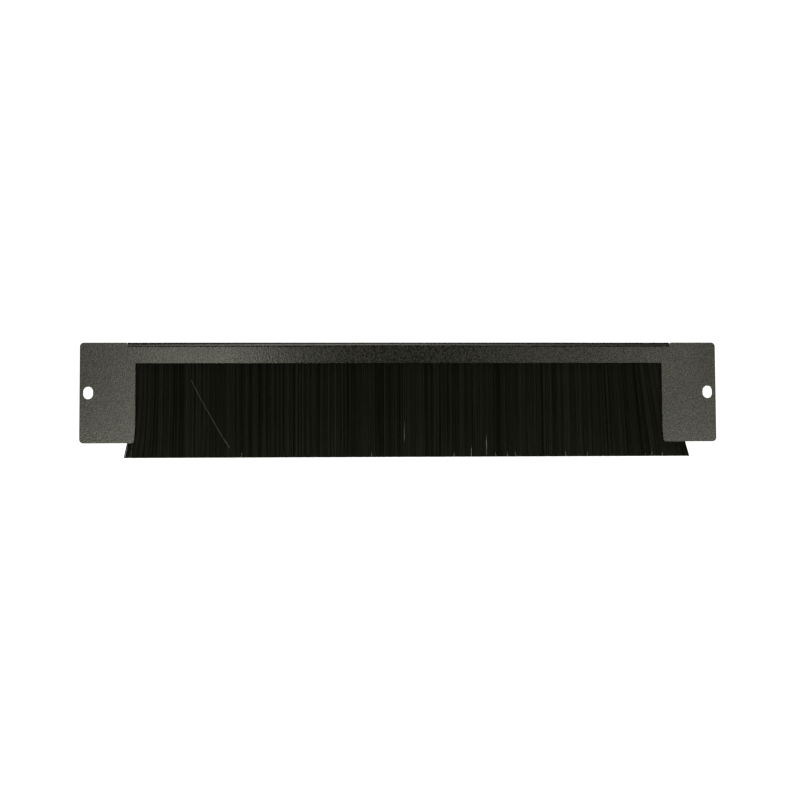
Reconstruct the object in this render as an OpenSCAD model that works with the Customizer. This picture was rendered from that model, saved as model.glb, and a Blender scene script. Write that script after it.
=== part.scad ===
// Rack brush strip panel: a folded steel panel with an open-bottomed cable window, and a strip brush
// that hangs behind the window from the panel's top flange.
//
// Frame: the origin is midway between the two mounting slots, on the back face of the ears.
// +X runs along the panel, to the right as seen from the front, +Y into the rack, and +Z up.

/* [Panel] */
// Overall width of the panel
panel_w = 477.6; // [476:0.2:482.6]
// Height of the panel
panel_h = 75; // [62:0.5:88]
// Thickness of the steel sheet
sheet = 1.5; // [1.2:0.1:2]
// Radius of the panel's outer corners
corner_r = 3; // [1:0.5:5]
// Distance between the two mounting slots
slot_pitch = 465.1; // [464:0.1:466]
// Width of a mounting slot
slot_w = 7.4; // [6:0.1:8]
// Height of a mounting slot
slot_h = 9.3; // [8.2:0.1:12]

/* [Cable window] */
// Width of the window
window_w = 395.4; // [385:0.2:396]
// Height of the strip of sheet above the window
strip_h = 15.4; // [14.5:0.1:18]
// Height over which the window's sides ease outwards to its mouth
ease_h = 18; // [10:1:24]
// How far each side has eased outwards at the mouth
ease_out = 0.9; // [0.4:0.1:2]
// Radius of the ears' inner bottom corners
mouth_r = 2; // [1:0.5:4]

/* [Top flange] */
// Length of the flange along the panel
flange_len = 408; // [404:0.5:412]
// How far the flange reaches behind the ears' back face
flange_back = 18.5; // [18.5:0.5:24]
// How far the flange's top stands above the ears' top edge
bend_rise = 0.4; // [0:0.1:0.6]
// Radius on the inside of the flange's bend
bend_r = 2.5; // [1.2:0.1:2.5]
// Radius of the flange's two back corners
flange_corner_r = 2; // [1:0.5:4]
// Width of the relief slit at each end of the bend
relief_w = 0.15; // [0.1:0.05:1.2]

/* [Brush carrier] */
// Length of the carrier and of the brush channel
brush_len = 400; // [390:1:402]
// Thickness of the carrier's flange
carrier_flange = 1.5; // [1.3:0.1:1.6]
// How far the carrier's flange reaches behind the ears' back face
carrier_back = 18; // [17.8:0.1:18.4]
// Thickness of the pocket's walls
pocket_wall = 1.4; // [1.1:0.1:1.4]
// How far each lip of the pocket reaches in under the channel
lip = 0.7; // [0.5:0.1:0.8]
// Space round the channel in its pocket
slide_gap = 0.1; // [0.05:0.05:0.15]

/* [Strip brush] */
// Width of the brush channel
channel_w = 5; // [4.8:0.1:5]
// Height of the brush channel
channel_h = 7.5; // [6.5:0.1:7.5]
// Thickness of the channel's steel
channel_sheet = 0.8; // [0.6:0.1:0.9]
// Diameter of the wire that the bristles are folded over
wire_d = 1.6; // [1.2:0.1:1.8]
// Length of the bristles below the channel
bristle_len = 75.8; // [45:0.1:100]
// How much wider each face of the brush stands at the tips
brush_spread = 0.7; // [0:0.1:0.9]
// How far the tips flare outwards at the left end
flare_left = 7.5; // [0:0.5:15]
// How far the tips flare outwards at the right end
flare_right = 19.5; // [0:0.5:25]
// Number of locks that the bristles gather in
lock_count = 150; // [60:10:170]

/* [Fixings] */
// Number of studs along the flange
stud_count = 5; // [3:1:7]
// Distance between the two outermost studs
stud_span = 360; // [200:5:380]
// Diameter of the stud's thread
stud_d = 4; // [3:0.5:4]
// Length of a stud with its head
stud_len = 8; // [7.5:0.1:9]
// Width of the nut across its flats
nut_af = 7; // [6.5:0.1:7]
// Height of the nut
nut_h = 3.2; // [2.4:0.1:3.2]
// Diameter of the washer
washer_d = 9; // [8:0.1:9]
// Thickness of the washer
washer_t = 0.8; // [0.5:0.1:0.8]

/* [Hidden] */
$fn = 64;
// A cut runs this far past the face that it opens
past = 1;

// Panel
top_z = panel_h / 2;
window_top = top_z - strip_h;
flange_top = top_z + bend_rise;
flange_under = flange_top - sheet;
bend_z = flange_under - bend_r;
ease_r = (ease_h * ease_h + ease_out * ease_out) / (2 * ease_out);
relief_depth = sheet + bend_r + 0.6;
// A small nick in the right ear, beside the relief slit
nick_r = 0.45;
nick_step = 0.25;

// Brush carrier, from the flange downwards
carrier_front = 0.2;
carrier_corner_r = bend_r;
carrier_edge_r = 0.5;
roof = flange_under - carrier_flange;
pocket_w = channel_w + 2 * slide_gap;
pocket_front = carrier_front + pocket_wall;
pocket_back = pocket_front + pocket_w;
brush_y = pocket_front + pocket_w / 2;
lip_top = roof - slide_gap - channel_h;
lip_h = 1.4;

// Strip brush
channel_corner_r = 1.3;
channel_inner_w = channel_w - 2 * channel_sheet;
channel_inner_r = channel_corner_r - channel_sheet;
channel_inner_top = channel_h - channel_sheet;
wire_z = lip_top + channel_inner_top - channel_inner_w / 2;
root_x = brush_len / 2 - 0.5;

// Bristles: the curtain is a net of columns (a lock's edge, its middle, the next lock's edge, ...)
// and rows at these shares of the bristles' length
row_share = [0, 0.12, 0.4, 0.65, 0.85, 1];
last_row = len(row_share) - 1;
last_col = 2 * lock_count;
// The flare dies away within this distance from each end, and grows with this power of the length
reach_left = 12;
reach_right = 22;
growth_left = 2.7;
growth_right = 1.06;
rib = 0.3;
// Lengths by which the bristles fall short of a straight cut: in the locks, between them, and in the
// separate wisps of the left end
uneven = 0.4;
cleft = 0.9;
wisp_cleft = 9;
wisp_reach = 5;
wobble = rands(0, 1, last_col + 1, 11);
sway = rands(-0.3, 0.3, last_col + 1, 12);

// Fixings
stud_y = 13.2;
stud_head_d = 5.7;
stud_head_t = 0.8;
stud_tip = 0.4;
carrier_hole_d = stud_d + 0.5;
washer_hole_d = stud_d + 0.3;
nut_chamfer = 0.5;

// Lays a drawing of X and Z upright, with its thickness running forwards from the back face
module upright(thickness)
    rotate([90, 0, 0])
        linear_extrude(height = thickness)
            children();

// Runs a drawing of Y and Z along X, centred
module along(length)
    translate([-length / 2, 0, 0])
        rotate([90, 0, 90])
            linear_extrude(height = length)
                children();

// A rectangle centred on the origin, with round corners
module round_rect(w, h, r) {
    square([w, h - 2 * r], center = true);
    square([w - 2 * r, h], center = true);
    for (x = [-1, 1], y = [-1, 1])
        translate([x * (w / 2 - r), y * (h / 2 - r)])
            circle(r);
}

// A rectangle that stands on the X axis, with its two top corners round
module round_top(w, h, r) {
    translate([-w / 2, 0])
        square([w, h - r]);
    translate([r - w / 2, 0])
        square([w - 2 * r, h]);
    for (x = [-1, 1])
        translate([x * (w / 2 - r), h - r])
            circle(r);
}

// An upright slot with round ends
module slot() {
    offset_z = (slot_h - slot_w) / 2;
    square([slot_w, 2 * offset_z], center = true);
    for (z = [-1, 1])
        translate([0, z * offset_z])
            circle(slot_w / 2);
}

// Places children at each stud
module at_studs()
    for (i = [0 : stud_count - 1])
        translate([(i / (stud_count - 1) - 0.5) * stud_span, stud_y, 0])
            children();

// The right half of the window. Its side runs straight down, then follows a large arc outwards,
// and the ear's corner at the mouth is rounded where that arc meets the panel's bottom edge.
module half_window() {
    side = window_w / 2;
    arc_x = side + ease_r;
    arc_z = ease_h - top_z;
    corner_z = mouth_r - top_z;
    inner_r = ease_r - mouth_r;
    corner_x = arc_x - sqrt(inner_r * inner_r - (corner_z - arc_z) * (corner_z - arc_z));
    touch = [arc_x, arc_z] + ([corner_x, corner_z] - [arc_x, arc_z]) * ease_r / inner_r;
    translate([-past, -top_z - past])
        square([side + past, window_top + top_z + past]);
    difference() {
        translate([side - past, -top_z - past])
            square([ease_out + mouth_r + past, ease_h + past]);
        translate([arc_x, arc_z])
            circle(ease_r, $fn = 720);
    }
    difference() {
        polygon([
            [side, -top_z - past],
            [corner_x, -top_z - past],
            [corner_x, corner_z],
            touch
        ]);
        translate([corner_x, corner_z])
            circle(mouth_r);
    }
}

module panel_face()
    difference() {
        round_rect(panel_w, panel_h, corner_r);
        half_window();
        mirror([1, 0])
            half_window();
        for (x = [-1, 1]) {
            translate([x * slot_pitch / 2, 0])
                slot();
            translate([x * (flange_len + relief_w) / 2, top_z])
                square([relief_w, 2 * relief_depth], center = true);
        }
        translate([-flange_len / 2, bend_z])
            square([flange_len, top_z]);
        translate([flange_len / 2 + relief_w + nick_step, top_z])
            circle(nick_r);
    }

// The bend, as a quarter of a ring
module bend_section()
    translate([bend_r, bend_z])
        difference() {
            circle(bend_r + sheet);
            circle(bend_r);
            translate([-2 * top_z, -4 * top_z])
                square(4 * top_z);
            translate([0, -top_z])
                square(2 * top_z);
        }

module flange_plan() {
    depth = flange_back - bend_r;
    translate([-flange_len / 2, bend_r])
        square([flange_len, depth - flange_corner_r]);
    translate([flange_corner_r - flange_len / 2, bend_r])
        square([flange_len - 2 * flange_corner_r, depth]);
    for (x = [-1, 1])
        translate([x * (flange_len / 2 - flange_corner_r), flange_back - flange_corner_r])
            circle(flange_corner_r);
}

// One sheet: the face with its ears, the bend, and the flange with a seat for each stud
module panel()
    color([0.27, 0.27, 0.24])
        difference() {
            union() {
                upright(sheet)
                    panel_face();
                along(flange_len)
                    bend_section();
                translate([0, 0, flange_under])
                    linear_extrude(height = sheet)
                        flange_plan();
            }
            at_studs() {
                translate([0, 0, flange_under - past])
                    cylinder(d = stud_d, h = sheet + 2 * past);
                translate([0, 0, flange_top - stud_head_t])
                    cylinder(d = stud_head_d, h = stud_head_t + past);
            }
        }

// The pocket's outline, with the flange behind it
module carrier_section()
    difference() {
        union() {
            translate([carrier_front, lip_top - lip_h])
                square([pocket_w + 2 * pocket_wall, flange_under - lip_top + lip_h - carrier_corner_r]);
            translate([carrier_front + carrier_corner_r, flange_under - carrier_corner_r])
                square([pocket_w + 2 * pocket_wall - carrier_corner_r, carrier_corner_r]);
            translate([carrier_front + carrier_corner_r, flange_under - carrier_corner_r])
                circle(carrier_corner_r);
            translate([pocket_back, roof])
                square([carrier_back - pocket_back - carrier_edge_r, carrier_flange]);
            translate([carrier_back - carrier_edge_r, roof + carrier_edge_r])
                circle(carrier_edge_r);
            translate([carrier_back - carrier_edge_r, flange_under - carrier_edge_r])
                circle(carrier_edge_r);
            translate([carrier_back - 2 * carrier_edge_r, roof + carrier_edge_r])
                square([2 * carrier_edge_r, carrier_flange - 2 * carrier_edge_r]);
        }
        translate([pocket_front, lip_top])
            square([pocket_w, roof - lip_top]);
        translate([pocket_front + lip, lip_top - lip_h - past])
            square([pocket_w - 2 * lip, lip_h + 2 * past]);
    }

module brush_carrier()
    color([0.1, 0.1, 0.1])
        difference() {
            along(brush_len)
                carrier_section();
            at_studs()
                translate([0, 0, roof - past])
                    cylinder(d = carrier_hole_d, h = carrier_flange + 2 * past);
        }

// The space inside the channel, which the folded bristles fill
module channel_space()
    translate([brush_y, lip_top])
        round_top(channel_inner_w, channel_inner_top, channel_inner_r);

module brush_channel()
    color([0.62, 0.63, 0.64])
        along(brush_len)
            difference() {
                translate([brush_y, lip_top])
                    round_top(channel_w, channel_h, channel_corner_r);
                channel_space();
                translate([brush_y - channel_inner_w / 2, lip_top - past])
                    square([channel_inner_w, 2 * past]);
            }

module core_wire()
    color([0.7, 0.7, 0.7])
        translate([-brush_len / 2, brush_y, wire_z])
            rotate([0, 90, 0])
                cylinder(d = wire_d, h = brush_len);

// Where a column is rooted along the channel. The columns between the two ends sway a little.
function root_at(col) =
    (col / lock_count - 1) * root_x + (col == 0 || col == last_col ? 0 : sway[col]);

// How far a bristle rooted at s has moved sideways after a share of its length
function flare(s, share) =
    flare_right * pow(share, growth_right) * exp((s - root_x) / reach_right)
    - flare_left * pow(share, growth_left) * exp((-s - root_x) / reach_left);

// A lock's middle is an odd column and stands proud, and its edges are even columns and lie deeper
function proud(col) = col % 2 == 1 ? 1 : -1;

// Length of the bristles in a column
function length_of(col) =
    let (s = root_at(col), edge = col % 2 == 0 && col > 0 && col < last_col)
    bristle_len
    - (edge ? cleft * (0.5 + wobble[col] / 2) + wisp_cleft * exp((-s - root_x) / wisp_reach)
            : uneven * wobble[col]);

// Distance of a face of the brush from its middle plane
function half_depth(col, share) =
    channel_inner_w / 2 + brush_spread * share
    + rib * min(1, share / row_share[1]) * proud(col) * (0.4 + 0.6 * wobble[col]);

// A point of the front (side -1) or back (side 1) of the curtain
function curtain_point(col, row, side) =
    let (s = root_at(col), share = row_share[row])
    [
        s + flare(s, share),
        brush_y + side * half_depth(col, share),
        lip_top - share * length_of(col)
    ];

// The hanging part of the brush, as one closed net of locks
module curtain() {
    rows = last_row + 1;
    cols = last_col + 1;
    points = [
        for (side = [-1, 1], row = [0 : last_row], col = [0 : last_col])
            curtain_point(col, row, side)
    ];
    function at(side, row, col) = ((side > 0 ? rows : 0) + row) * cols + col;
    front = [
        for (row = [0 : last_row - 1], col = [0 : last_col - 1], half = [0, 1])
            half == 0
            ? [at(-1, row, col), at(-1, row, col + 1), at(-1, row + 1, col)]
            : [at(-1, row, col + 1), at(-1, row + 1, col + 1), at(-1, row + 1, col)]
    ];
    back = [
        for (row = [0 : last_row - 1], col = [0 : last_col - 1], half = [0, 1])
            half == 0
            ? [at(1, row, col), at(1, row + 1, col), at(1, row, col + 1)]
            : [at(1, row, col + 1), at(1, row + 1, col), at(1, row + 1, col + 1)]
    ];
    top = [
        for (col = [0 : last_col - 1], half = [0, 1])
            half == 0
            ? [at(-1, 0, col), at(1, 0, col), at(-1, 0, col + 1)]
            : [at(-1, 0, col + 1), at(1, 0, col), at(1, 0, col + 1)]
    ];
    tips = [
        for (col = [0 : last_col - 1], half = [0, 1])
            half == 0
            ? [at(-1, last_row, col), at(-1, last_row, col + 1), at(1, last_row, col)]
            : [at(-1, last_row, col + 1), at(1, last_row, col + 1), at(1, last_row, col)]
    ];
    ends = [
        for (row = [0 : last_row - 1], half = [0, 1], end = [0, 1])
            let (
                col = end == 0 ? 0 : last_col,
                a = at(-1, row, col),
                b = at(-1, row + 1, col),
                c = at(1, row, col),
                d = at(1, row + 1, col)
            )
            half == 0
            ? (end == 0 ? [a, b, c] : [a, c, b])
            : (end == 0 ? [c, b, d] : [c, d, b])
    ];
    polyhedron(points, concat(front, back, top, tips, ends));
}

// The bristles are folded over the wire inside the channel and hang out of it
module bristles()
    color([0.07, 0.07, 0.05])
        union() {
            along(2 * root_x)
                difference() {
                    channel_space();
                    translate([brush_y, wire_z])
                        circle(d = wire_d);
                }
            curtain();
        }

// A flush head in the sheet and a shank that points down
module studs()
    color([0.75, 0.75, 0.73])
        at_studs() {
            translate([0, 0, flange_top - stud_head_t])
                cylinder(d = stud_head_d, h = stud_head_t);
            translate([0, 0, flange_top - stud_len + stud_tip])
                cylinder(d = stud_d, h = stud_len - stud_tip);
            translate([0, 0, flange_top - stud_len])
                cylinder(d1 = stud_d - 2 * stud_tip, d2 = stud_d, h = stud_tip);
        }

module washers()
    color([0.8, 0.8, 0.78])
        at_studs()
            translate([0, 0, roof - washer_t])
                difference() {
                    cylinder(d = washer_d, h = washer_t);
                    translate([0, 0, -past])
                        cylinder(d = washer_hole_d, h = washer_t + 2 * past);
                }

// A hexagon with the corners of both faces turned off
module nuts()
    color([0.78, 0.78, 0.76])
        at_studs()
            translate([0, 0, roof - washer_t - nut_h])
                difference() {
                    intersection() {
                        cylinder(d = nut_af / cos(30), h = nut_h, $fn = 6);
                        union() {
                            cylinder(d1 = nut_af, d2 = nut_af + 4 * nut_chamfer, h = nut_chamfer);
                            translate([0, 0, nut_chamfer])
                                cylinder(d = nut_af + 4 * nut_chamfer, h = nut_h - 2 * nut_chamfer);
                            translate([0, 0, nut_h - nut_chamfer])
                                cylinder(d1 = nut_af + 4 * nut_chamfer, d2 = nut_af, h = nut_chamfer);
                        }
                    }
                    translate([0, 0, -past])
                        cylinder(d = stud_d, h = nut_h + 2 * past);
                }

panel();
brush_carrier();
brush_channel();
core_wire();
bristles();
studs();
washers();
nuts();
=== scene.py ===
# %% [markdown]
# # A rack brush strip panel
#
# The part is a folded steel panel for a server rack, with a strip brush that hangs behind its cable
# window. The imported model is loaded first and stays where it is. Every piece made here is placed
# from its boxes, in metres: X runs along the panel, Y into the rack and Z up.

# %% Load the frame
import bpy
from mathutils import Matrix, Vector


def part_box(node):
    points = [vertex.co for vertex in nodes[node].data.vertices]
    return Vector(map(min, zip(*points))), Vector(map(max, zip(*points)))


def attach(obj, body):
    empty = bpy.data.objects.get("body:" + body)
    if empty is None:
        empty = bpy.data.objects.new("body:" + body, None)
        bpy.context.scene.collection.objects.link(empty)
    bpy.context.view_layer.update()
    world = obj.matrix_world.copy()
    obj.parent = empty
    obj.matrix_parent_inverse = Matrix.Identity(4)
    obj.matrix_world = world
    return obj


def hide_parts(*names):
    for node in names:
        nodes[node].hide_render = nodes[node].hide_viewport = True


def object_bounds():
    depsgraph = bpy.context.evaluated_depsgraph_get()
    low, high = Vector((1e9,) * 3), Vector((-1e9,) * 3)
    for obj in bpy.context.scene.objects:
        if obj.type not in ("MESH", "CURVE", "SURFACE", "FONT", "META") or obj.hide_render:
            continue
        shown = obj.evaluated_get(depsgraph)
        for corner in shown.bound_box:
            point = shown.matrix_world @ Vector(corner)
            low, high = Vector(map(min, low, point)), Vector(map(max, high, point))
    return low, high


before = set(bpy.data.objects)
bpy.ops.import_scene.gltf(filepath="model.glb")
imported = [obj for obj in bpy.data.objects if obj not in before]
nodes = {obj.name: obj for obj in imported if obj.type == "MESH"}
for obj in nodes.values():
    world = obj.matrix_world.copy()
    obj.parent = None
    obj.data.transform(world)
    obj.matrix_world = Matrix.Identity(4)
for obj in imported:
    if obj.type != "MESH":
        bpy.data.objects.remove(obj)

cad_low, cad_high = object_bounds()
print("the CAD model spans", cad_low, "to", cad_high)

# %% Tools of this script
import math

import bpy
import numpy as np
from mathutils import Matrix, Vector

MM = 0.001
print("the CAD nodes are", sorted(nodes))

# %% [markdown]
# ## The camera
#
# The camera stands one metre in front of the panel, a hand to its left and a little below it, so it
# looks up at the panel. It is turned on its axis by a quarter of a degree, as a camera held by hand
# is, and a lens of about 60 mm draws the panel without much perspective.

# %% Camera
CAMERA_DISTANCE = 1.0
CAMERA_AZIMUTH = math.radians(-2.63)
CAMERA_ELEVATION = math.radians(-3.05)
CAMERA_ROLL = math.radians(-0.262)
CAMERA_LENS = 59.93
camera_target = Vector((-0.71, 0, -5.67)) * MM

away = Vector((
    math.sin(CAMERA_AZIMUTH) * math.cos(CAMERA_ELEVATION),
    -math.cos(CAMERA_AZIMUTH) * math.cos(CAMERA_ELEVATION),
    math.sin(CAMERA_ELEVATION),
))
camera_data = bpy.data.cameras.new("camera")
camera_data.lens = CAMERA_LENS
camera_data.clip_start = 0.01
camera = bpy.data.objects.new("camera", camera_data)
bpy.context.collection.objects.link(camera)
camera.location = camera_target + away * CAMERA_DISTANCE
aim = (-away).to_track_quat("-Z", "Y")
camera.rotation_mode = "QUATERNION"
camera.rotation_quaternion = aim @ Matrix.Rotation(CAMERA_ROLL, 4, "Z").to_quaternion()
bpy.context.scene.camera = camera
print("the camera stands at", camera.location)

# %% [markdown]
# ## Helpers for modelling
#
# An operator acts on everything that is selected, so each step starts by deselecting all and then
# selects what it needs by place. A CAD node is a mesh of loose triangles, so a copy of it is merged
# and its flat faces are made whole before its edges can be rounded.

# %% Select, merge and finish
def select_only(piece):
    """Selects one object and makes it active."""
    bpy.ops.object.select_all(action="DESELECT")
    piece.select_set(True)
    bpy.context.view_layer.objects.active = piece


def apply_modifiers(piece):
    """Applies every modifier of a piece, in order."""
    select_only(piece)
    for modifier in list(piece.modifiers):
        bpy.ops.object.modifier_apply(modifier=modifier.name)


def merged_copy(node, name):
    """A copy of a CAD node with its triangles merged into whole faces."""
    piece = bpy.data.objects.new(name, nodes[node].data.copy())
    bpy.context.collection.objects.link(piece)
    piece.data.materials.clear()
    select_only(piece)
    bpy.ops.object.mode_set(mode="EDIT")
    bpy.ops.mesh.select_all(action="SELECT")
    bpy.ops.mesh.remove_doubles(threshold=0.002 * MM)
    bpy.ops.mesh.customdata_custom_splitnormals_clear()
    bpy.ops.mesh.dissolve_limited(angle_limit=math.radians(0.3))
    bpy.ops.object.mode_set(mode="OBJECT")
    return piece


def soften(piece, width, segments=2, leave=None):
    """Rounds the sharp edges of a piece by width, apart from those to leave, and shades it smooth."""
    bpy.context.tool_settings.mesh_select_mode = (False, True, False)
    select_only(piece)
    bpy.ops.object.mode_set(mode="EDIT")
    bpy.ops.mesh.select_all(action="DESELECT")
    bpy.ops.mesh.edges_select_sharp(sharpness=math.radians(30))
    bpy.ops.object.mode_set(mode="OBJECT")
    points = piece.data.vertices
    for edge in piece.data.edges:
        if leave and leave(*(points[i].co for i in edge.vertices)):
            edge.select = False
    bpy.ops.object.mode_set(mode="EDIT")
    bpy.ops.mesh.bevel(offset=width, segments=segments, affect="EDGES", clamp_overlap=True)
    bpy.ops.object.mode_set(mode="OBJECT")
    bpy.ops.object.shade_smooth_by_angle(angle=math.radians(50))
    weigh = piece.modifiers.new("weigh", "WEIGHTED_NORMAL")
    weigh.keep_sharp = True
    weigh.weight = 100
    apply_modifiers(piece)


def select_edges(piece, wanted):
    """Selects, for edit mode, the edges whose two ends pass a test."""
    bpy.context.tool_settings.mesh_select_mode = (False, True, False)
    select_only(piece)
    bpy.ops.object.mode_set(mode="EDIT")
    bpy.ops.mesh.select_all(action="DESELECT")
    bpy.ops.object.mode_set(mode="OBJECT")
    points = piece.data.vertices
    for edge in piece.data.edges:
        edge.select = wanted(*(points[i].co for i in edge.vertices))


def triangles(piece):
    """Number of triangles of a mesh piece."""
    piece.data.calc_loop_triangles()
    return len(piece.data.loop_triangles)


# %% [markdown]
# ## Helpers for materials
#
# Each material is a Principled shader with a few noise patterns on Object coordinates. The patterns
# are in millimetres of the real object: a Mapping node scales the coordinates, so that a pattern can
# also be stretched along one axis, as the lines of a drawn or extruded metal are.

# %% Material helpers
def new_material(name, colour, roughness, metallic=0.0, specular=0.5):
    """A material with a Principled shader, and the nodes and links to build on."""
    material = bpy.data.materials.new(name)
    material.use_nodes = True
    material.diffuse_color = (*colour, 1)
    shader = material.node_tree.nodes["Principled BSDF"]
    shader.inputs["Base Color"].default_value = (*colour, 1)
    shader.inputs["Roughness"].default_value = roughness
    shader.inputs["Metallic"].default_value = metallic
    shader.inputs["Specular IOR Level"].default_value = specular
    return material, shader


def noise(material, size, stretch=(1, 1, 1), detail=2.0, rough=0.5):
    """A noise pattern whose grains measure about size metres, times stretch along each axis."""
    tree = material.node_tree
    place = tree.nodes.new("ShaderNodeTexCoord")
    mapping = tree.nodes.new("ShaderNodeMapping")
    mapping.inputs["Scale"].default_value = [1 / (size * along) for along in stretch]
    texture = tree.nodes.new("ShaderNodeTexNoise")
    texture.inputs["Scale"].default_value = 1
    texture.inputs["Detail"].default_value = detail
    texture.inputs["Roughness"].default_value = rough
    tree.links.new(place.outputs["Object"], mapping.inputs["Vector"])
    tree.links.new(mapping.outputs["Vector"], texture.inputs["Vector"])
    return texture.outputs["Fac"]


def ranged(material, value, low, high, start=0.3, end=0.7):
    """Maps a pattern's start to end onto low to high."""
    node = material.node_tree.nodes.new("ShaderNodeMapRange")
    for key, number in zip(("From Min", "From Max", "To Min", "To Max"), (start, end, low, high)):
        node.inputs[key].default_value = number
    material.node_tree.links.new(value, node.inputs["Value"])
    return node.outputs["Result"]


def tinted(material, value, dark, light, start=0.3, end=0.7):
    """A colour between dark and light, following a pattern."""
    node = material.node_tree.nodes.new("ShaderNodeValToRGB")
    node.color_ramp.elements[0].position = start
    node.color_ramp.elements[1].position = end
    node.color_ramp.elements[0].color = (*dark, 1)
    node.color_ramp.elements[1].color = (*light, 1)
    material.node_tree.links.new(value, node.inputs["Fac"])
    return node.outputs["Color"]


def bumped(material, shader, *heights):
    """Adds bump layers, each a pattern and its height in metres."""
    below = None
    for value, height in heights:
        node = material.node_tree.nodes.new("ShaderNodeBump")
        node.inputs["Distance"].default_value = height
        material.node_tree.links.new(value, node.inputs["Height"])
        if below:
            material.node_tree.links.new(below, node.inputs["Normal"])
        below = node.outputs["Normal"]
    material.node_tree.links.new(below, shader.inputs["Normal"])


def give(piece, material):
    """Gives a piece its material and its place on the root body."""
    piece.data.materials.clear()
    piece.data.materials.append(material)
    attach(piece, "root")


# %% [markdown]
# ## Powder coat
#
# The panel is dark grey, fine-textured powder coat. The powder melts into a skin with grains of
# about half a millimetre, on a flatter orange peel of a few millimetres. The grains tilt the gloss,
# so they are bump, and they also collect a little more or less pigment, which mottles the colour.

# %% Powder coat material
def powder_coat():
    material, shader = new_material("fine_textured_coat", (0.02, 0.02, 0.017), 0.22)
    grain = noise(material, 0.9 * MM, detail=0.0)
    peel = noise(material, 3.2 * MM, detail=1.0)
    cloud = noise(material, 28 * MM, detail=2.0)
    links = material.node_tree.links
    links.new(
        tinted(material, grain, (0.004, 0.004, 0.0033), (0.043, 0.043, 0.036), 0.42, 0.62),
        shader.inputs["Base Color"],
    )
    links.new(ranged(material, cloud, 0.2, 0.24), shader.inputs["Roughness"])
    bumped(material, shader, (peel, 0.02 * MM), (grain, 0.06 * MM))
    return material


coat = powder_coat()
print("made", coat.name)

# %% [markdown]
# ## The panel
#
# The panel is one sheet of 1.5 mm steel, cut and folded. Laser-cut edges are sharp, but the powder
# builds up over them and leaves a small radius. The exact sheet comes from the CAD model, and only
# its edges are rounded here, because a rounded edge is what catches the light.

# %% Panel
COAT_EDGE = 0.22 * MM
RELIEF_X = (203.8 * MM, 205.1 * MM)
RELIEF_DEPTH = 5 * MM


def in_relief(*ends):
    """True for an edge in the narrow relief slits beside the bend, where powder fills the corners."""
    return all(
        RELIEF_X[0] < abs(end.x) < RELIEF_X[1] and end.z > cad_high.z - RELIEF_DEPTH for end in ends
    )


panel = merged_copy("panel", "panel_skin")
soften(panel, COAT_EDGE, segments=3, leave=in_relief)
give(panel, coat)
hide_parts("panel")
print("the panel has", triangles(panel), "triangles")

# %% [markdown]
# ## Measures of the brush
#
# A strip brush is made by folding filaments over a wire and squeezing a steel channel round them.
# The filaments then hang as two legs, and fan out a little below the channel. All its measures come
# from the boxes of the CAD nodes, and the fan follows the same formula as the CAD model's curtain:
# each end flares outwards, the left one only near its tips and the right one all the way down.

# %% Brush measures
CHANNEL_WALL = 0.8 * MM
ROOT_INSET = 0.5 * MM
FLARE_REACH_LEFT = 12 * MM
FLARE_REACH_RIGHT = 22 * MM
FLARE_POWER_LEFT = 2.7
FLARE_POWER_RIGHT = 1.06
BRUSH_SPREAD = 0.7 * MM
LOCK_RIB = 0.3 * MM
LOCKS = 150

channel_low, channel_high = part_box("brush_channel")
wire_low, wire_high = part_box("core_wire")
curtain_low, curtain_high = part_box("bristles")
brush_y = (wire_low.y + wire_high.y) / 2
wire_z = (wire_low.z + wire_high.z) / 2
wire_r = (wire_high.z - wire_low.z) / 2
lip_z = channel_low.z
root_half = (channel_high.y - channel_low.y) / 2 - CHANNEL_WALL
root_end = channel_high.x - ROOT_INSET
brush_length = lip_z - curtain_low.z
flare_left = -curtain_low.x - root_end
flare_right = curtain_high.x - root_end
print("filaments hang", round(brush_length / MM, 1), "mm below the channel")


def flared(s, share):
    """How far a filament rooted at s has moved sideways after a share of its length."""
    right = flare_right * share ** FLARE_POWER_RIGHT * np.exp((s - root_end) / FLARE_REACH_RIGHT)
    left = flare_left * share ** FLARE_POWER_LEFT * np.exp((-s - root_end) / FLARE_REACH_LEFT)
    return right - left


# %% [markdown]
# ## One filament
#
# A nylon filament is 0.28 mm thick, so it is a dot from arm's length, and three sides with smooth
# shading are round enough. It is modelled once, one metre long and one metre in radius, as a
# cylinder cut into six lengths, so that each copy can be given its own thickness and bend.

# %% Filament
FILAMENT_SIDES = 3
FILAMENT_LENGTHS = 6
FILAMENT_R = 0.14 * MM


def unit_filament(lengths):
    """Points (across, along, share of the length) and faces of one straight filament."""
    bpy.ops.object.select_all(action="DESELECT")
    bpy.ops.mesh.primitive_cylinder_add(
        vertices=FILAMENT_SIDES, radius=1, depth=1, end_fill_type="NGON", location=(0, 0, -0.5)
    )
    filament = bpy.context.object
    bpy.ops.object.transform_apply(location=True)
    select_edges(filament, lambda a, b: abs(a.z - b.z) > 0.5)
    bpy.ops.object.mode_set(mode="EDIT")
    bpy.ops.mesh.subdivide(number_cuts=lengths - 1)
    bpy.ops.object.mode_set(mode="OBJECT")
    points = np.array([v.co for v in filament.data.vertices])
    faces = [list(face.vertices) for face in filament.data.polygons]
    bpy.data.objects.remove(filament)
    return points, faces


filament_points, filament_faces = unit_filament(FILAMENT_LENGTHS)
print("a filament has", len(filament_points), "points and", len(filament_faces), "faces")

# %% [markdown]
# ## Planting the brush
#
# Each copy of the filament follows its own path: out of the channel, down in a slightly wavy line,
# and outwards with the flare. All is drawn from one seeded generator, so the brush is the same each
# time. Twelve thousand loose filaments would be slow to handle, so they are planted into one mesh
# for each stretch of the brush.

# %% Plant filaments
UNEVEN = 0.4 * MM
IN_CHANNEL = 4.6 * MM
draw = np.random.default_rng(41)


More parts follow.
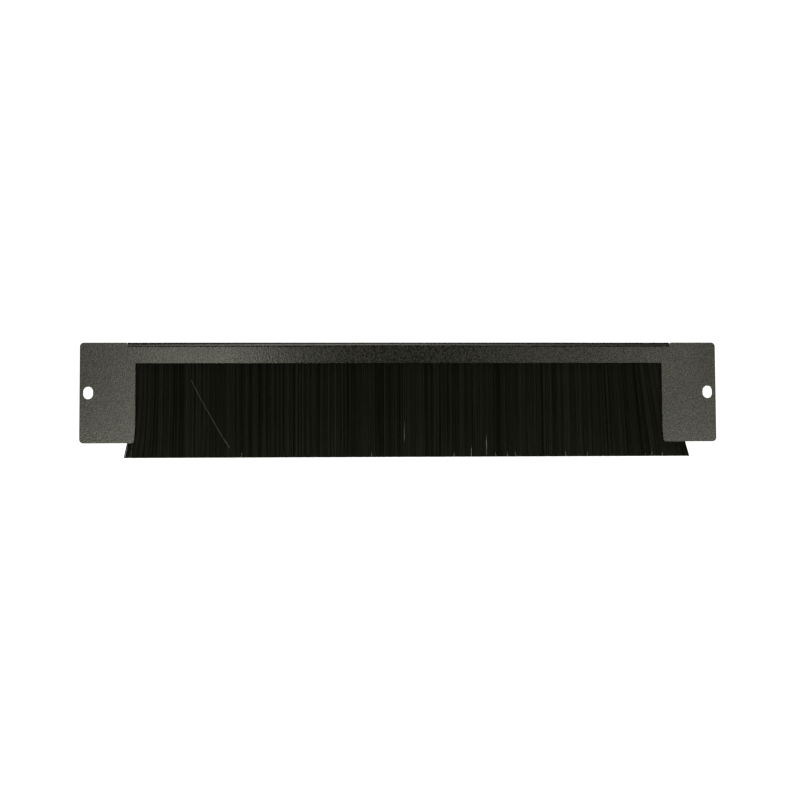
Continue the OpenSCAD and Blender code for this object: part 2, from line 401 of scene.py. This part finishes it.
def middle_line(share, s, depth, lean, wave, phase, short):
    """Points on the middle lines of filaments, for an array of shares of the hanging length."""
    hanging = np.clip(share, 0, 1)
    spread = root_half + BRUSH_SPREAD * hanging - FILAMENT_R
    ripple = wave * hanging * np.sin(phase + 5 * hanging)
    x = s + flared(s, hanging) + lean * hanging + ripple
    y = brush_y + depth * spread
    z = lip_z - share * (brush_length - short)
    return np.stack([x, y, z], axis=-1)


def planted(name, roots, radius=FILAMENT_R):
    """One mesh piece with a copy of the filament on each root's middle line."""
    rings = -filament_points[:, 2]
    cut = 1 / FILAMENT_LENGTHS
    share = np.where(rings < 0.5 * cut, -IN_CHANNEL / brush_length, (rings - cut) / (1 - cut))
    columns = {key: values[:, None] for key, values in roots.items()}
    middle = middle_line(share[None, :], **columns)
    turn = draw.uniform(0, 2 * math.pi, len(middle))[:, None]
    across, along = filament_points[:, 0], filament_points[:, 1]
    middle[..., 0] += radius * (across * np.cos(turn) - along * np.sin(turn))
    middle[..., 1] += radius * (across * np.sin(turn) + along * np.cos(turn))
    count = len(filament_points)
    faces = [[i + count * n for i in face] for n in range(len(middle)) for face in filament_faces]
    mesh = bpy.data.meshes.new(name)
    mesh.from_pydata(middle.reshape(-1, 3).tolist(), [], faces)
    piece = bpy.data.objects.new(name, mesh)
    bpy.context.collection.objects.link(piece)
    select_only(piece)
    bpy.ops.object.shade_smooth_by_angle(angle=math.radians(80))
    return piece


# %% [markdown]
# Where a filament is rooted decides where its tip goes. The machine that fills the channel packs the
# filaments as tight as they will lie, so the roots stand in rows, each filament in front of a gap in
# the row behind. Below the channel the filaments gather in locks: they lean towards the middle of
# their lock, and its middle stands a little proud. The channel holds the last filaments of the left
# end badly and loses half of them, so the flare there thins out into wisps that light shows through.
# The right end is fuller: more filaments are rooted there, and its flare stays closed.

# %% Choose the roots
ROWS = 9
ROOT_PITCH = 0.3 * MM
LOCK_PULL = 0.05
WISP_PULL = 0.1
WISP_REACH = 7 * MM
THIN_SHARE = 0.4
THIN_REACH = 3.2 * MM
CROWD_SHARE = 0.7
lock_width = 2 * root_end / LOCKS


def row_places():
    """Places along the channel, closer together where the flare spreads them."""
    fine = np.linspace(-root_end, root_end, 4000)
    crowded = CROWD_SHARE * flare_right / FLARE_REACH_RIGHT
    crowd = 1 + crowded * np.exp((fine - root_end) / FLARE_REACH_RIGHT)
    total = np.concatenate([[0], np.cumsum((crowd[1:] + crowd[:-1]) / 2 * np.diff(fine))])
    count = round(total[-1] / ROOT_PITCH)
    return np.interp((np.arange(count) + 0.5) * total[-1] / count, total, fine)


def all_roots():
    """Roots of all the filaments, from left to right."""
    places = row_places()
    row = np.tile(np.arange(ROWS), len(places))
    s = np.repeat(places, ROWS) + (row % 2 - 0.5) * ROOT_PITCH / 2
    s += draw.uniform(-0.25, 0.25, len(s)) * ROOT_PITCH
    s = np.clip(s, -root_end, root_end)
    place = ((s + root_end) / lock_width) % 1 - 0.5
    proud = np.cos(2 * math.pi * place) * LOCK_RIB / 2 / root_half
    depth = (row / (ROWS - 1) * 2 - 1) * (0.96 + proud) + draw.uniform(-0.04, 0.04, len(s))
    pull = LOCK_PULL + WISP_PULL * np.exp((-s - root_end) / WISP_REACH)
    roots = {
        "s": s,
        "depth": depth,
        "lean": draw.normal(0, 0.12 * MM, len(s)) - pull * place * lock_width,
        "wave": draw.normal(0, 0.08 * MM, len(s)),
        "phase": draw.uniform(0, 2 * math.pi, len(s)),
        "short": draw.uniform(0, UNEVEN, len(s)),
    }
    held = draw.uniform(THIN_SHARE, 1, len(s)) < THIN_SHARE + (s + root_end) / THIN_REACH
    held |= draw.uniform(0, 1, len(s)) < THIN_SHARE
    return {key: values[held] for key, values in roots.items()}


STRETCHES = 4
roots = all_roots()
cuts = [round(len(roots["s"]) * i / STRETCHES) for i in range(STRETCHES + 1)]
brush = []
for i in range(STRETCHES):
    part = {key: values[cuts[i]:cuts[i + 1]] for key, values in roots.items()}
    brush.append(planted(f"bristles_{i + 1}", part))
print("the brush has", len(roots["s"]), "filaments and", sum(map(triangles, brush)), "triangles")

# %% [markdown]
# ## Black nylon
#
# The filaments are black nylon, drawn to a dull shine. Nylon takes its black from carbon right
# through, so hardly any light comes back from inside, and what the eye sees is a soft gloss along
# each filament. Some strands are greyer, in streaks that run down the brush. The tips are painted
# lighter than the roots: a painted highlight, standing in for the low light that catches them.

# %% Nylon material
# Where the painted highlight on the tips begins, and how much lighter it paints them.
TIP_LIGHT_FROM = -10 * MM
TIP_LIGHT_GAIN = 1.7


def nylon(name, dark, light, roughness):
    """Nylon in streaks from dark to light, painted lighter down to the tips as a painted highlight."""
    material, shader = new_material(name, dark, roughness, specular=0.2)
    streak = noise(material, 0.5 * MM, stretch=(1, 1, 60), detail=2.0)
    tree = material.node_tree
    links = tree.links
    place = tree.nodes.new("ShaderNodeTexCoord")
    split = tree.nodes.new("ShaderNodeSeparateXYZ")
    links.new(place.outputs["Object"], split.inputs["Vector"])
    tip_lit = tree.nodes.new("ShaderNodeVectorMath")
    tip_lit.operation = "SCALE"
    links.new(tinted(material, streak, dark, light, 0.4, 0.75), tip_lit.inputs[0])
    # Painted highlight: the colour is scaled up towards the tips, for the low light they catch.
    greyer = ranged(material, split.outputs["Z"], TIP_LIGHT_GAIN, 1, curtain_low.z, TIP_LIGHT_FROM)
    links.new(greyer, tip_lit.inputs["Scale"])
    links.new(tip_lit.outputs["Vector"], shader.inputs["Base Color"])
    links.new(ranged(material, streak, roughness, roughness + 0.12), shader.inputs["Roughness"])
    fine = noise(material, 0.12 * MM, stretch=(1, 1, 30))
    bumped(material, shader, (fine, 0.01 * MM))
    return material


black_nylon = nylon("black_nylon", (0.0085, 0.0092, 0.0046), (0.0112, 0.0122, 0.0074), 0.5)
for piece in brush:
    give(piece, black_nylon)
    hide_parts("bristles")
print("made", black_nylon.name)

# %% [markdown]
# ## Strays
#
# No brush leaves the machine quite clean. One filament has slipped out of the front row and lies
# askew across the others, and here and there a tip has curled in front of the trimmed edge. Each is
# a bent tube: a curve through a few points, given the thickness of a filament.

# %% Strays
FRONT_OF_BRUSH = curtain_low.y - 0.5 * MM
STRAY_XZ = [(-156.7, 9.4), (-149.5, -4.6), (-141.3, -19.2), (-134.2, -31.6), (-128.2, -40.9)]
CURL_X = [-119, -22, 40, 71, 80, 86, 124, 141, 190, 198]
CURL_LIFT = 0.4


def strand(name, points, radius=FILAMENT_R):
    """A filament through the points, as a closed tube."""
    bpy.ops.object.select_all(action="DESELECT")
    bpy.ops.curve.primitive_bezier_curve_add(location=(0, 0, 0))
    piece = bpy.context.object
    piece.name = name
    curve = piece.data
    curve.splines.clear()
    spline = curve.splines.new("BEZIER")
    spline.bezier_points.add(len(points) - 1)
    for knot, point in zip(spline.bezier_points, points):
        knot.co = point
        knot.handle_left_type = knot.handle_right_type = "AUTO"
    curve.resolution_u = 6
    curve.bevel_depth = radius
    curve.bevel_resolution = 1
    curve.use_fill_caps = True
    bpy.ops.object.convert(target="MESH")
    bpy.ops.object.mode_set(mode="EDIT")
    bpy.ops.mesh.select_all(action="SELECT")
    bpy.ops.mesh.remove_doubles(threshold=0.001 * MM)
    bpy.ops.mesh.normals_make_consistent(inside=False)
    bpy.ops.object.mode_set(mode="OBJECT")
    bpy.ops.object.shade_smooth_by_angle(angle=math.radians(60))
    return piece


stray = strand("stray_filament", [(x * MM, FRONT_OF_BRUSH, z * MM) for x, z in STRAY_XZ])

curls = []
for i, x in enumerate(CURL_X):
    side = draw.choice([-1, 1])
    tall, reach = draw.uniform(2.2, 3.4), draw.uniform(0.5, 1.2)
    bottom = curtain_low.z / MM + CURL_LIFT
    points = [
        (x, bottom + tall),
        (x + 0.2 * side, bottom + 0.4 * tall),
        (x + 0.6 * reach * side, bottom),
        (x + reach * side, bottom + 0.25 * tall),
    ]
    curls.append(strand(f"curl_{i}", [(u * MM, FRONT_OF_BRUSH, v * MM) for u, v in points]))
bpy.ops.object.select_all(action="DESELECT")
for curl in curls:
    curl.select_set(True)
bpy.context.view_layer.objects.active = curls[0]
bpy.ops.object.join()
curls = curls[0]
curls.name = "curled_tips"

# The strays are black nylon too; their pale grey is a painted highlight, for the light that the loose
# filament and the curled tips catch.
painted_highlight_nylon = nylon("painted_highlight_nylon", (0.16, 0.17, 0.12), (0.24, 0.25, 0.18), 0.45)
for piece in (stray, curls):
    give(piece, painted_highlight_nylon)
    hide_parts("bristles")
print("the strays have", triangles(stray) + triangles(curls), "triangles")

# %% [markdown]
# ## Carrier, channel and core wire
#
# The carrier is an aluminium extrusion, anodised satin black, with faint lines along its length from
# the die. The channel is zinc-plated strip steel, and the core wire is bright drawn wire. Their exact
# sections come from the CAD model, with their edges broken, because cut metal is deburred.

# %% Metal materials
def drawn_metal(name, dark, light, roughness, line, bump):
    """Metal with lines along X, as a die or a drawing plate leaves them."""
    material, shader = new_material(name, dark, roughness, metallic=1.0)
    lines = noise(material, line, stretch=(400, 1, 1), detail=3.0)
    haze = noise(material, 9 * MM, stretch=(4, 1, 1))
    links = material.node_tree.links
    links.new(tinted(material, lines, dark, light), shader.inputs["Base Color"])
    links.new(ranged(material, haze, roughness - 0.05, roughness + 0.07), shader.inputs["Roughness"])
    bumped(material, shader, (lines, bump))
    return material


anodised = drawn_metal(
    "black_anodised", (0.022, 0.022, 0.024), (0.045, 0.045, 0.048), 0.36, 0.3 * MM, 0.006 * MM
)
strip_zinc = drawn_metal(
    "zinc_strip", (0.42, 0.43, 0.45), (0.6, 0.61, 0.63), 0.34, 0.2 * MM, 0.004 * MM
)
bright_wire = drawn_metal(
    "drawn_wire", (0.5, 0.5, 0.5), (0.66, 0.66, 0.65), 0.26, 0.1 * MM, 0.003 * MM
)

# %% Carrier, channel and wire
carrier = merged_copy("brush_carrier", "carrier_extrusion")
soften(carrier, 0.12 * MM)
give(carrier, anodised)
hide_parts("brush_carrier")

channel = merged_copy("brush_channel", "channel_strip")
soften(channel, 0.1 * MM)
give(channel, strip_zinc)
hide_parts("brush_channel")

wire = merged_copy("core_wire", "core_wire_drawn")
soften(wire, 0.15 * MM, segments=3)
give(wire, bright_wire)
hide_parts("core_wire")
print("carrier", triangles(carrier), "channel", triangles(channel), "wire", triangles(wire))

# %% [markdown]
# ## Fixings
#
# Clinch studs are pressed into the flange, and a washer and a nut on each one hold the carrier. They
# are zinc-plated steel. The nut and washer keep their CAD form with broken edges, and the stud gets
# a real thread, because its tip shows below the nut.

# %% Zinc plating
def zinc_plating():
    material, shader = new_material("zinc_plating", (0.5, 0.52, 0.55), 0.3, metallic=1.0)
    cloud = noise(material, 1.4 * MM, detail=3.0)
    grain = noise(material, 0.12 * MM)
    links = material.node_tree.links
    links.new(tinted(material, cloud, (0.4, 0.42, 0.45), (0.62, 0.63, 0.62)), shader.inputs["Base Color"])
    links.new(ranged(material, cloud, 0.24, 0.42), shader.inputs["Roughness"])
    bumped(material, shader, (grain, 0.004 * MM))
    return material


zinc = zinc_plating()

# %% Washers and nuts
washers = merged_copy("washers", "washers_plated")
soften(washers, 0.1 * MM)
give(washers, zinc)
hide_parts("washers")

nuts = merged_copy("nuts", "nuts_plated")
soften(nuts, 0.08 * MM)
give(nuts, zinc)
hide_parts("nuts")

print("washers", triangles(washers), "nuts", triangles(nuts))

# %% [markdown]
# ## Clinch studs
#
# An M4 stud has a rolled thread with a pitch of 0.7 mm. The shank is a cylinder cut into thin rings,
# and each of its points is drawn in towards the axis by how far it stands from the crest of the
# helix. One stud is modelled, with its flat head, and copied to each place in the flange.

# %% Clinch studs
PITCH = 0.7 * MM
THREAD_DEPTH = 0.43 * MM
FLANK_SLOPE = 3.2
CREST_SHARE = 0.2
THREAD_RINGS = 56
THREAD_SIDES = 28
HEAD_R = 2.85 * MM
HEAD_T = 0.8 * MM
STUD_R = 2 * MM
TIP = 0.4 * MM
STUD_X = [-180 * MM, -90 * MM, 0, 90 * MM, 180 * MM]
stud_low, stud_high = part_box("studs")
stud_y = (stud_low.y + stud_high.y) / 2


def thread_radius(x, y, z):
    """Radius of the thread at an angle and a height: crest, flank, root, flank for each pitch."""
    turn = (z / PITCH + math.atan2(y, x) / (2 * math.pi)) % 1
    groove = min(max(FLANK_SLOPE * (0.5 - abs(turn - 0.5)) - CREST_SHARE, 0), 1)
    return min(STUD_R - THREAD_DEPTH * groove, STUD_R - TIP + (z - stud_low.z))


bpy.ops.object.select_all(action="DESELECT")
shank_top = stud_high.z - HEAD_T / 2
bpy.ops.mesh.primitive_cylinder_add(
    vertices=THREAD_SIDES,
    radius=STUD_R,
    depth=shank_top - stud_low.z,
    location=(0, 0, (shank_top + stud_low.z) / 2),
)
stud = bpy.context.object
stud.name = "studs_plated"
bpy.ops.object.transform_apply(location=True)
select_edges(stud, lambda a, b: abs(a.z - b.z) > MM)
bpy.ops.object.mode_set(mode="EDIT")
bpy.ops.mesh.subdivide(number_cuts=THREAD_RINGS)
bpy.ops.object.mode_set(mode="OBJECT")
for vertex in stud.data.vertices:
    x, y, z = vertex.co
    shrink = thread_radius(x, y, z) / math.hypot(x, y)
    vertex.co = (x * shrink, y * shrink, z)
select_only(stud)
bpy.ops.object.shade_smooth_by_angle(angle=math.radians(50))
bpy.ops.mesh.primitive_cylinder_add(
    vertices=48, radius=HEAD_R, depth=HEAD_T, location=(0, 0, stud_high.z - HEAD_T / 2)
)
head = bpy.context.object
bpy.ops.object.transform_apply(location=True)
soften(head, 0.06 * MM)
select_only(stud)
head.select_set(True)
bpy.ops.object.join()
copies = stud.modifiers.new("copies", "ARRAY")
copies.count = len(STUD_X)
copies.use_relative_offset = False
copies.use_constant_offset = True
copies.constant_offset_displace = (STUD_X[1] - STUD_X[0], 0, 0)
apply_modifiers(stud)
select_only(stud)
stud.location = (STUD_X[0], stud_y, 0)
bpy.ops.object.transform_apply(location=True)
give(stud, zinc)
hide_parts("studs")
print("the studs have", triangles(stud), "triangles")

# %% [markdown]
# ## Studio
#
# The panel is shown as in a catalogue: in the air above a pale floor that sweeps up behind it, all of
# it white. Softboxes near the camera are what the powder coat mirrors, and the gap between them is
# the dark stretch of the strip above the window.

# %% White for the camera
def shown_white(tree, surface, output):
    """Shows a stage surface as clean white paper, while it lights the object only as it is lit."""
    white = tree.nodes.new("ShaderNodeEmission")
    white.inputs["Strength"].default_value = 1.2
    path = tree.nodes.new("ShaderNodeLightPath")
    mix = tree.nodes.new("ShaderNodeMixShader")
    tree.links.new(path.outputs["Is Camera Ray"], mix.inputs["Fac"])
    tree.links.new(surface, mix.inputs[1])
    tree.links.new(white.outputs["Emission"], mix.inputs[2])
    tree.links.new(mix.outputs["Shader"], output.inputs["Surface"])


# %% Stage
FLOOR_Z = -1.0
STAGE_HALF = 4.0
BACK_Y = 2.5
SWEEP_TOP = 3.0

bpy.ops.object.select_all(action="DESELECT")
bpy.ops.mesh.primitive_plane_add(size=2 * STAGE_HALF, location=(0, BACK_Y - STAGE_HALF, FLOOR_Z))
floor = bpy.context.object
floor.name = "studio_floor"
bpy.ops.object.transform_apply(location=True)
select_edges(floor, lambda a, b: min(a.y, b.y) > BACK_Y - 0.1)
bpy.ops.object.mode_set(mode="EDIT")
bpy.ops.mesh.extrude_region_move(TRANSFORM_OT_translate={"value": (0, 0, SWEEP_TOP - FLOOR_Z)})
bpy.ops.object.mode_set(mode="OBJECT")
bend = floor.modifiers.new("sweep", "BEVEL")
bend.width = 1.0
bend.segments = 16
apply_modifiers(floor)
bpy.ops.object.shade_smooth()
paper, paper_shader = new_material("white_paper", (0.85, 0.85, 0.85), 0.9)
shown_white(paper.node_tree, paper_shader.outputs["BSDF"], paper.node_tree.nodes["Material Output"])
floor.data.materials.append(paper)
print("the stage has", triangles(floor), "triangles")

# %% Lights
WARM = (1.0, 0.99, 0.84)


def softbox(name, place, size, radiance, target=(0, 0, 0), colour=WARM):
    """A rectangular area light that faces target, as bright as radiance times a white page."""
    data = bpy.data.lights.new(name, "AREA")
    data.shape = "RECTANGLE"
    data.size, data.size_y = size
    data.energy = radiance * math.pi * size[0] * size[1]
    data.color = colour
    light = bpy.data.objects.new(name, data)
    bpy.context.collection.objects.link(light)
    light.location = place
    light.rotation_euler = (Vector(target) - Vector(place)).to_track_quat("-Z", "Y").to_euler()
    light.visible_camera = False
    return light


FRONT = (0, 0, 0.03)
softbox("key", (-0.22, -1.0, 0.12), (0.08, 0.34), 5.6, target=FRONT)
softbox("key_edge", (-0.3, -1.0, 0.12), (0.08, 0.34), 2.7, target=FRONT)
softbox("key_fall_off", (-0.46, -1.0, 0.12), (0.24, 0.34), 1.0, target=FRONT)
softbox("side_near", (0.25, -1.0, 0.12), (0.1, 0.34), 1.3, target=FRONT)
softbox("side", (0.45, -1.0, 0.12), (0.1, 0.34), 3.1, target=FRONT)
softbox("side_fall_off", (0.6, -1.0, 0.12), (0.2, 0.34), 0.6, target=FRONT)
softbox("low_left", (-0.32, -0.9, -0.18), (0.32, 0.24), 6.6)
softbox("low_right", (0.54, -0.9, -0.16), (0.34, 0.22), 4.6)
softbox("over_left", (-0.15, -0.4, 0.9), (0.28, 0.9), 2.7)
softbox("over_right", (0.15, -0.4, 0.9), (0.28, 0.9), 1.1)
softbox("over_fall_off", (0.45, -0.4, 0.9), (0.28, 0.9), 0.35)

softbox("back_left", (-0.7, 1.2, 0.35), (0.7, 0.6), 3.5, colour=(1, 1, 1))
softbox("back_right", (0.7, 1.2, 0.35), (0.7, 0.6), 3.5, colour=(1, 1, 1))
softbox("back_low", (0, 1.1, -0.5), (1.0, 0.4), 3.0, colour=(1, 1, 1))

world = bpy.data.worlds.new("studio")
bpy.context.scene.world = world
world.use_nodes = True
tree = world.node_tree
surround = tree.nodes["Background"]
surround.inputs["Color"].default_value = (1, 1, 1, 1)
surround.inputs["Strength"].default_value = 0.02
shown_white(tree, surround.outputs["Background"], tree.nodes["World Output"])
bpy.context.scene.view_settings.view_transform = "Standard"
